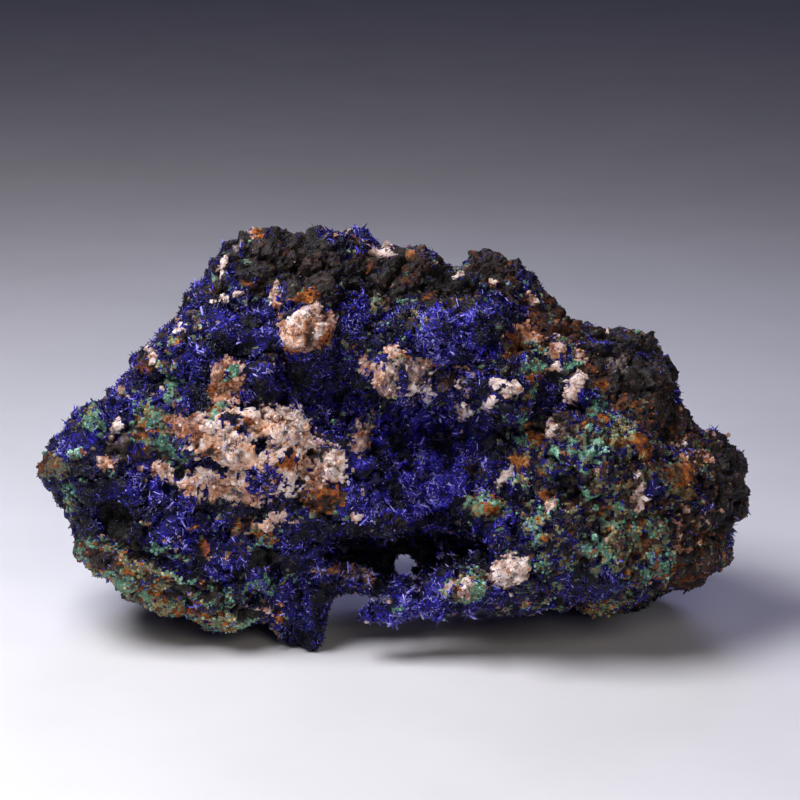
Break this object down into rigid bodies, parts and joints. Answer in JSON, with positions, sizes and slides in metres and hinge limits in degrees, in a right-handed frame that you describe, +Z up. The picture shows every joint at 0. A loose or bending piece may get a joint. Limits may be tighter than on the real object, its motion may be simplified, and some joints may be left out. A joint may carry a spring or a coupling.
{
  "type": "azurite with malachite specimen",
  "caption": "Rough dark rock for display, its open hollow lined with deep blue bladed crystals and its face patched with green, white and rust-coloured crusts.",
  "frame": {"origin": "centre of the bounding box, on the surface that the rock stands on", "axes": "+X to the right along the broad face as it is looked at, +Y from the face into the rock, +Z up"},
  "size_m": [0.143, 0.0794, 0.0803],
  "materials": {
    "gossan": "rough and dull",
    "azurite": "glassy small crystals"
  },
  "bodies": {
    "root": {"matrix": "gossan", "azurite_crust": "azurite"}
  },
  "joints": []
}
